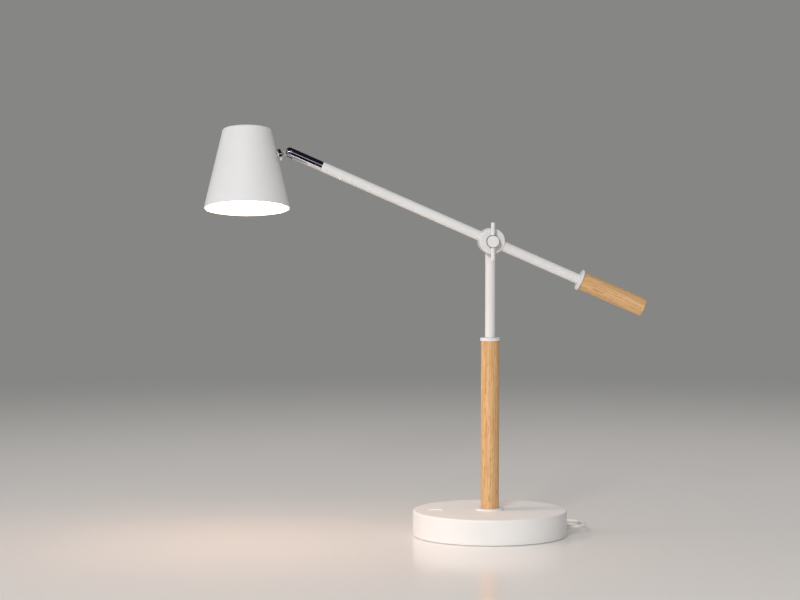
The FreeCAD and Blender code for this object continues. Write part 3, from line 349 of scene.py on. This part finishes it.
cover = {
    "light": "f6f5f3",
    "shade": "f1f0ed",
    "cloud": 70.0,           # mm
    "cloudDetail": 4.0,
    "blend": (0.35, 0.65),
    "roughness": (0.40, 0.50),
    "ior": 1.53,
    "spark": 0.45,           # mm, the pit size of a spark-eroded mould
    "depth": 0.008,          # mm
    "bump": 0.25,
}


def mouldedAbs():
    # ABS, moulded in a finely spark-eroded tool: soft white, slightly warm, no hard glint.
    material, tree = newMaterial("mouldedAbs")
    place = addNode(tree, "TexCoord").outputs["Object"]
    tone, rough = clouded(tree, place, cover)
    pits = addNode(tree, "TexVoronoi", {"Vector": place, "Scale": 1 / (cover["spark"] * mm)})
    bump = addNode(tree, "Bump", {"Height": pits.outputs["Distance"], "Strength": cover["bump"],
                                  "Distance": cover["depth"] * mm})
    giveSurface(tree, Base_Color=tone, Roughness=rough, IOR=cover["ior"],
                Normal=bump.outputs["Normal"])
    return material


wood = {
    "early": "e6b981",           # pale spring growth
    "late": "cf9a60",            # darker summer growth
    "lateFrom": 0.55,            # share of a ring where the summer growth starts
    "lateFull": 0.9,             # and where it is darkest
    "ring": 2.6,                 # mm between growth rings
    "wander": 6.4,               # mm for the whole swing of the noise, which uses about half of it
    "wanderAcross": 25.0,        # mm
    "wanderAlong": 166.67,       # mm
    "wanderDetail": 2.0,
    "streak": "b8844e",
    "flake": "eec795",
    "streakBlend": (0.32, 0.66),
    "streakShare": 0.5,          # how much of the colour the streaks give
    "streakWidth": 1.1,          # mm
    "streakLength": 45.0,        # mm
    "streakDetail": 3.0,
    "pore": "a8743f",
    "poreBlend": (0.60, 0.72),
    "poreWidth": 0.55,           # mm, coarser than the real 0.2 so that they show
    "poreLength": 9.0,           # mm
    "poreDetail": 1.0,
    "depth": 0.05,               # mm
    "bump": 0.5,
    "roughness": (0.42, 0.58),
    "ior": 1.48,
    "postPith": (34, 46),
    "gripPith": (-28, 40),
    "gripTilt": 66.3,            # degrees, as the grip dips 23.7 below level
}
oncePerMetre = math.tau / 20     # the wave texture's scale that gives one ring in a metre


def grainNoise(tree, along, across, lengthwise, detail):
    # Noise drawn out along the grain. Both sizes are in mm.
    scale = (1 / (across * mm), 1 / (across * mm), 1 / (lengthwise * mm))
    place = addNode(tree, "Mapping", {"Vector": along, "Scale": scale})
    return addNode(tree, "TexNoise", {"Vector": place.outputs["Vector"], "Scale": 1.0,
                                      "Detail": detail})


def oiledOak(name, tilt, pith):
    # Turned oak, sanded and oiled: warm tan bands, short dark pores along the grain, a low sheen.
    # tilt turns the grain's axis from Z, about Y.
    # pith is the heart of the tree, in mm off the axis.
    material, tree = newMaterial(name)
    turned = addNode(tree, "Mapping", {"Vector": addNode(tree, "TexCoord").outputs["Object"],
                                       "Rotation": (0, math.radians(tilt), 0)})
    along = turned.outputs["Vector"]

    # Growth rings about the pith, pushed about by slow noise
    wander = grainNoise(tree, along, wood["wanderAcross"], wood["wanderAlong"],
                        wood["wanderDetail"])
    centred = addNode(tree, "VectorMath", {0: wander.outputs["Color"], 1: (0.5, 0.5, 0.5)},
                      operation="SUBTRACT")
    pushed = addNode(tree, "VectorMath", {0: centred.outputs["Vector"],
                                          "Scale": wood["wander"] * mm}, operation="SCALE")
    moved = addNode(tree, "VectorMath", {0: along, 1: pushed.outputs["Vector"]}, operation="ADD")
    fromPith = addNode(tree, "VectorMath", {0: moved.outputs["Vector"],
                                            1: (pith[0] * mm, pith[1] * mm, 0)}, operation="ADD")
    rings = addNode(tree, "TexWave", {"Vector": fromPith.outputs["Vector"], "Distortion": 0.0,
                                      "Scale": oncePerMetre / (wood["ring"] * mm)},
                    wave_type="RINGS", rings_direction="Z", wave_profile="SAW")
    bands = addNode(tree, "ValToRGB", {"Fac": rings.outputs["Fac"]},
                    stops=[(wood["lateFrom"], wood["early"]), (1.0, wood["early"]),
                           (wood["lateFull"], wood["late"])])

    # Streaks and pores along the grain
    streak = grainNoise(tree, along, wood["streakWidth"], wood["streakLength"],
                        wood["streakDetail"]).outputs["Fac"]
    darkest, lightest = wood["streakBlend"]
    streakTone = addNode(tree, "ValToRGB", {"Fac": streak},
                         stops=[(darkest, wood["streak"]), (lightest, wood["flake"])])
    mixed = addNode(tree, "Mix", {"Factor": wood["streakShare"], "A": bands.outputs["Color"],
                                  "B": streakTone.outputs["Color"]}, data_type="RGBA")
    pore = grainNoise(tree, along, wood["poreWidth"], wood["poreLength"], wood["poreDetail"])
    clear, deep = wood["poreBlend"]
    poreMask = addNode(tree, "ValToRGB", {"Fac": pore.outputs["Fac"]},
                       stops=[(clear, "000000"), (deep, "ffffff")]).outputs["Color"]
    shaded = addNode(tree, "Mix", {"Factor": poreMask, "A": mixed.outputs[2],
                                   "B": linear(wood["pore"])}, data_type="RGBA")

    smoothest, roughest = wood["roughness"]
    rough = addNode(tree, "MapRange", {"Value": streak, "To Min": smoothest, "To Max": roughest})
    bump = addNode(tree, "Bump", {"Height": poreMask, "Strength": wood["bump"],
                                  "Distance": wood["depth"] * mm}, invert=True)
    giveSurface(tree, Base_Color=shaded.outputs[2], Roughness=rough.outputs["Result"],
                IOR=wood["ior"], Normal=bump.outputs["Normal"])
    return material


plating = {
    "light": "dcdbe0",
    "shade": "d3d2d8",
    "cloud": 6.0,            # mm
    "cloudDetail": 4.0,
    "blend": (0.3, 0.7),
    "roughness": (0.04, 0.08),
}


def brightChrome():
    # Brass, buffed and plated with nickel and bright chrome: a cold mirror with next to no haze.
    material, tree = newMaterial("brightChrome")
    tone, rough = clouded(tree, addNode(tree, "TexCoord").outputs["Object"], plating)
    giveSurface(tree, Base_Color=tone, Metallic=1.0, Roughness=rough)
    return material


plain = {
    "blend": (0.35, 0.65),
    "detail": 4.0,
    "bump": 0.3,
}
lit = {
    "colour": "fffaf5",
    "strength": 2.0,      # enough to look white without throwing sparks on the arm
}


def plainMaterial(name, light, shade, grain, roughness, metallic=0.0, depth=0.01, **more):
    # grain and depth are in mm.
    material, tree = newMaterial(name)
    place = addNode(tree, "TexCoord").outputs["Object"]
    noise = addNode(tree, "TexNoise", {"Vector": place, "Scale": 1 / (grain * mm),
                                       "Detail": plain["detail"]}).outputs["Fac"]
    darkest, lightest = plain["blend"]
    tone = addNode(tree, "ValToRGB", {"Fac": noise}, stops=[(darkest, shade), (lightest, light)])
    bump = addNode(tree, "Bump", {"Height": noise, "Strength": plain["bump"],
                                  "Distance": depth * mm})
    giveSurface(tree, Base_Color=tone.outputs["Color"], Metallic=metallic, Roughness=roughness,
                Normal=bump.outputs["Normal"], **more)
    return material


paintedSteel = powderCoat("powderCoatedSteel")
paintedAluminium = powderCoat("powderCoatedAluminium", peelShare=paint["shadePeel"])
paintedKnob = powderCoat("powderCoatedKnob", bareRim=True)
baseAbs = mouldedAbs()
postOak = oiledOak("oiledOakPost", 0, wood["postPith"])
gripOak = oiledOak("oiledOakGrip", wood["gripTilt"], wood["gripPith"])
chrome = brightChrome()
# Thermoplastic rubber drawn over the copper strands: matt white, a little grey in the hollows.
sheath = plainMaterial("extrudedTpeSheath", "efede9", "e2dfda", grain=1.2, roughness=0.55)
# Soft PVC, moulded over the plug: smooth satin white.
plugPvc = plainMaterial("mouldedPvc", "f0eeea", "e8e5e0", grain=3.0, roughness=0.42)
# Foamed rubber sheet, die cut: chalky white with an open grain.
foam = plainMaterial("foamRubber", "efedea", "e4e2de", grain=0.5, roughness=0.9, depth=0.05)
# Silicone rubber, moulded as a strap: milky white and dull.
silicone = plainMaterial("mouldedSilicone", "f2f1ee", "e9e8e4",
                         grain=1.6, roughness=0.5, depth=0.03)
# Nylon 6, injection moulded and left natural: milky cream.
nylon = plainMaterial("mouldedNylon", "e2ddd0", "d8d2c3", grain=2.0, roughness=0.5)
# Opal acrylic, moulded, with the lamp lit behind it: an even white glow.
opal = plainMaterial("opalAcrylic", "fbf8f2", "f6f2ea", grain=4.0, roughness=0.4,
                     Emission_Color=linear(lit["colour"]), Emission_Strength=lit["strength"])
# Mild steel, barrel plated with zinc: grey with a soft crystal bloom.
zinc = plainMaterial("zincPlatedSteel", "c2c4c6", "a9abae", grain=1.5, roughness=0.33, metallic=1.0)
# Grey iron, sand cast and dipped in black paint: a dull, coarse near black.
iron = plainMaterial("castIron", "3b3b3d", "2b2b2c", grain=0.8, roughness=0.7, depth=0.06)
# Brass under satin nickel: a soft grey metal that blurs what it mirrors.
satinNickel = plainMaterial("satinNickel", "c9c6c4", "bfbcba",
                            grain=2.0, roughness=0.38, metallic=1.0)
# Aluminium, turned: bright with fine tool marks.
turnedAluminium = plainMaterial("turnedAluminium", "cdced0", "bdbec1",
                                grain=0.4, roughness=0.35, metallic=1.0)
# Copper foil and wire, rolled and drawn: a warm orange metal, half bright.
copper = plainMaterial("rolledCopper", "d49a6a", "c4875a", grain=0.8, roughness=0.3, metallic=1.0)
# Phenolic paper, pressed: dark brown fibre.
fibre = plainMaterial("pressedFibre", "4a423b", "36302b", grain=0.6, roughness=0.85)
# Glass epoxy under green solder lacquer: deep green with a shine.
greenBoard = plainMaterial("lacqueredGlassEpoxy", "1f6a41", "175536", grain=1.0, roughness=0.4)
# Glass epoxy under white solder lacquer: cold white with a shine.
whiteBoard = plainMaterial("whiteLacqueredEpoxy", "f0f0ec", "e6e6e0", grain=1.0, roughness=0.4)
# Epoxy, transfer moulded over chips and coils: black and dull.
blackEpoxy = plainMaterial("mouldedEpoxy", "2a2a2a", "1f1f1f", grain=0.4, roughness=0.6)
# Silicone with phosphor, dispensed over the diodes: a smooth strong yellow.
phosphor = plainMaterial("phosphorSilicone", "e9cf62", "dfc04f", grain=0.3, roughness=0.35)

finishes = {
    # Base
    "base_cover": baseAbs, "bottom_plate": paintedSteel, "foot_pad": foam, "base_screws": zinc,
    "weight_plate": iron, "touch_electrode": copper, "touch_contact": copper,
    "control_board": greenBoard, "board_components": blackEpoxy, "board_standoffs": nylon,
    "clamp_washer": zinc, "clamp_nut": zinc, "cord_gland": sheath, "lead_base": sheath,
    # Post
    "post_flange": paintedSteel, "core_tube": zinc, "wood_sleeve": postOak,
    "top_collar": paintedSteel, "swivel_bush": nylon, "swivel_spindle": zinc, "swivel_clip": zinc,
    "post_tube": paintedSteel, "lead_post": sheath,
    # Pivot
    "rear_drum": paintedSteel, "front_drum": paintedSteel, "friction_disc": fibre,
    "pivot_bolt": zinc, "hub_cap": paintedSteel, "clamp_knob": paintedKnob,
    "cross_bar": paintedSteel, "thrust_washer": zinc,
    # Arm
    "arm_tube": paintedSteel, "handle_tube": paintedSteel, "handle_collar": paintedSteel,
    "wood_handle": gripOak, "arm_bush": nylon, "lead_arm": sheath,
    # Head
    "barrel": chrome, "barrel_clip": zinc, "fork_pin": chrome, "knuckle": satinNickel,
    "rosette": chrome, "knuckle_washer": zinc, "knuckle_nut": zinc,
    "shade_shell": paintedAluminium, "lamp_bracket": zinc, "bracket_screws": zinc,
    "heat_sink": turnedAluminium, "led_board": whiteBoard, "led_chips": phosphor,
    "led_screws": zinc, "diffuser": opal, "lead_head": sheath,
    # Plug
    "plug_body": plugPvc, "plug_shell": zinc, "plug_insert": plugPvc,
}
for name, material in finishes.items():
    nodes[name].data.materials.clear()
    nodes[name].data.materials.append(material)
powerCord.data.materials.append(sheath)
coilTie.data.materials.append(silicone)
print("materials given")

# Floor, background and light

studio = {
    "floor": "f3efeb",
    "floorRoughness": 0.18,
    "floorIor": 1.5,
    "floorRadius": 9.0,
    "floorSides": 96,
    "fadeStart": 0.55,      # from the lamp to where the floor starts to turn to the wall's grey
    "fadeEnd": 2.2,
    "deskFront": -0.55,     # Y where the mirrored desk ends, in front of the lamp
    "deskBlur": 0.05,
    "wall": "868684",
    "left": "fafafc",       # soft light from the window wall
    "right": "8a8886",      # less from the far side
    "sideways": 0.9,        # X of a direction that has the whole of either
    "above": "acacae",      # and from the ceiling
    "upwards": (0.2, 0.9),  # Z of a direction where its light starts, and where it is whole
    "dark": "1c1a1e",       # the room in front and above, in reflections
    "strip": "c6bed0",      # a pale strip a little above eye level in front, in reflections
    "stripHeights": (0.20, 0.25, 0.40, 0.45),      # Z: starts, whole, whole, ends
    "back": "cfc9c3",       # the bright far end of the room, in reflections
    "low": "a19e9a",        # and what the desk mirrors below it
    "backHeights": (0.20, 0.23, 0.30, 0.42),
    "turnover": 0.15,       # Y of a direction that looks wholly ahead or behind
}


def makeFloor():
    mesh = bpy.data.meshes.new("floor")
    sides = studio["floorSides"]
    rim = [(studio["floorRadius"] * math.cos(math.tau * k / sides),
            studio["floorRadius"] * math.sin(math.tau * k / sides), 0) for k in range(sides)]
    mesh.from_pydata(rim, [], [range(sides)])
    floor = addObject("floor", mesh)
    # A lacquered desk top: pale and half glossy, going over to the grey of the room behind.
    material, tree = newMaterial("paleLacquer")
    place = addNode(tree, "TexCoord").outputs["Object"]
    away = addNode(tree, "VectorMath", {0: place}, operation="LENGTH")
    fade = addNode(tree, "MapRange", {"Value": away.outputs["Value"],
                                      "From Min": studio["fadeStart"],
                                      "From Max": studio["fadeEnd"]},
                   interpolation_type="SMOOTHSTEP")
    lacquer = addNode(tree, "BsdfPrincipled", {"Base Color": linear(studio["floor"]),
                                               "Roughness": studio["floorRoughness"],
                                               "IOR": studio["floorIor"]})
    glow = addNode(tree, "Emission", {"Color": linear(studio["wall"]), "Strength": 1.0})
    both = addNode(tree, "MixShader", {0: fade.outputs["Result"], 1: lacquer.outputs[0],
                                       2: glow.outputs[0]})
    # The chrome mirrors a desk that ends just in front of the lamp, with a dark room beyond it.
    axes = addNode(tree, "SeparateXYZ", {"Vector": place})
    front = addNode(tree, "MapRange", {"Value": axes.outputs["Y"],
                                       "From Min": studio["deskFront"] + studio["deskBlur"],
                                       "From Max": studio["deskFront"] - studio["deskBlur"]})
    rays = addNode(tree, "LightPath")
    mirrored = addNode(tree, "Math", {0: front.outputs["Result"], 1: rays.outputs["Is Glossy Ray"]},
                       operation="MULTIPLY")
    dark = addNode(tree, "Emission", {"Color": linear(studio["dark"]), "Strength": 1.0})
    last = addNode(tree, "MixShader", {0: mirrored.outputs[0], 1: both.outputs[0],
                                       2: dark.outputs[0]})
    addNode(tree, "OutputMaterial", {"Surface": last.outputs[0]})
    mesh.materials.append(material)


def makeWorld():
    world = bpy.data.worlds.new("studio")
    bpy.context.scene.world = world
    world.use_nodes = True
    tree = world.node_tree
    tree.nodes.clear()
    axes = addNode(tree, "SeparateXYZ", {"Vector": addNode(tree, "TexCoord").outputs["Generated"]})

    # Soft light from the window wall, the far side and the ceiling
    across = addNode(tree, "MapRange", {"Value": axes.outputs["X"], "From Min": -studio["sideways"],
                                        "From Max": studio["sideways"]})
    level, steep = studio["upwards"]
    up = addNode(tree, "MapRange", {"Value": axes.outputs["Z"], "From Min": level,
                                    "From Max": steep})
    walls = addNode(tree, "Mix", {"Factor": across.outputs["Result"], "A": linear(studio["left"]),
                                  "B": linear(studio["right"])}, data_type="RGBA")
    soft = addNode(tree, "Mix", {"Factor": up.outputs["Result"], "A": walls.outputs[2],
                                 "B": linear(studio["above"])}, data_type="RGBA")
    fill = addNode(tree, "Background", {"Color": soft.outputs[2], "Strength": 1.0})

    # In reflections the room has a dark ceiling, a pale strip in front and a bright far end.
    dark, strip = studio["dark"], studio["strip"]
    starts, whole, fades, ends = studio["stripHeights"]
    ahead = addNode(tree, "ValToRGB", {"Fac": axes.outputs["Z"]},
                    stops=[(starts, dark), (ends, dark), (whole, strip), (fades, strip)])
    starts, whole, fades, ends = studio["backHeights"]
    behind = addNode(tree, "ValToRGB", {"Fac": axes.outputs["Z"]},
                     stops=[(starts, studio["low"]), (ends, dark), (whole, studio["back"]),
                            (fades, studio["back"])])
    side = addNode(tree, "MapRange", {"Value": axes.outputs["Y"], "From Min": -studio["turnover"],
                                      "From Max": studio["turnover"]})
    room = addNode(tree, "Mix", {"Factor": side.outputs["Result"], "A": ahead.outputs["Color"],
                                 "B": behind.outputs["Color"]}, data_type="RGBA")
    mirrored = addNode(tree, "Background", {"Color": room.outputs[2], "Strength": 1.0})

    # The camera sees only the wall's grey.
    rays = addNode(tree, "LightPath")
    wall = addNode(tree, "Background", {"Color": linear(studio["wall"]), "Strength": 1.0})
    seen = addNode(tree, "Math", {0: rays.outputs["Is Camera Ray"],
                                  1: rays.outputs["Is Transmission Ray"]}, operation="MAXIMUM")
    unseen = addNode(tree, "MixShader", {0: rays.outputs["Is Glossy Ray"], 1: fill.outputs[0],
                                         2: mirrored.outputs[0]})
    last = addNode(tree, "MixShader", {0: seen.outputs[0], 1: unseen.outputs[0],
                                       2: wall.outputs[0]})
    addNode(tree, "OutputWorld", {"Surface": last.outputs[0]})


lamps = {
    "window": {"shape": "RECTANGLE", "size": (0.5, 0.45), "power": 38, "colour": "ffffff",
               "mirrored": True, "place": Vector((-1.0, -2.575, 1.42)),
               "target": Vector((-0.06, 0, 0.2))},
    "bulb": {"shape": "DISK", "size": (0.08, 0.08), "power": 0.65, "colour": "ffcfab",
             "mirrored": False, "below": 0.012},      # below the middle of the diffuser
}


def makeLamp(name, place, target):
    lamp = lamps[name]
    data = bpy.data.lights.new(name, "AREA")
    data.shape = lamp["shape"]
    data.size, data.size_y = lamp["size"]
    data.energy = lamp["power"]
    data.color = linear(lamp["colour"])[:3]
    light = addObject(name, data)
    light.location = place
    light.rotation_euler = (target - place).to_track_quat("-Z", "Y").to_euler()
    light.visible_glossy = lamp["mirrored"]
    light.visible_camera = False
    return light


def boxCentre(node):
    low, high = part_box(node)
    return (low + high) / 2


def makeBulb():
    # The warm light that the lamp itself throws on the desk, from inside the shade.
    # It moves with the head.
    down = (boxCentre("diffuser") - boxCentre("led_board")).normalized()
    place = boxCentre("diffuser") + down * lamps["bulb"]["below"]
    makeLamp("bulb", place, place + down).parent = frame["bodies"]["head"]


makeFloor()
makeWorld()
makeLamp("window", lamps["window"]["place"], lamps["window"]["target"])
makeBulb()
bpy.context.scene.view_settings.view_transform = "Standard"
print("studio lit")

bpy.context.view_layer.update()
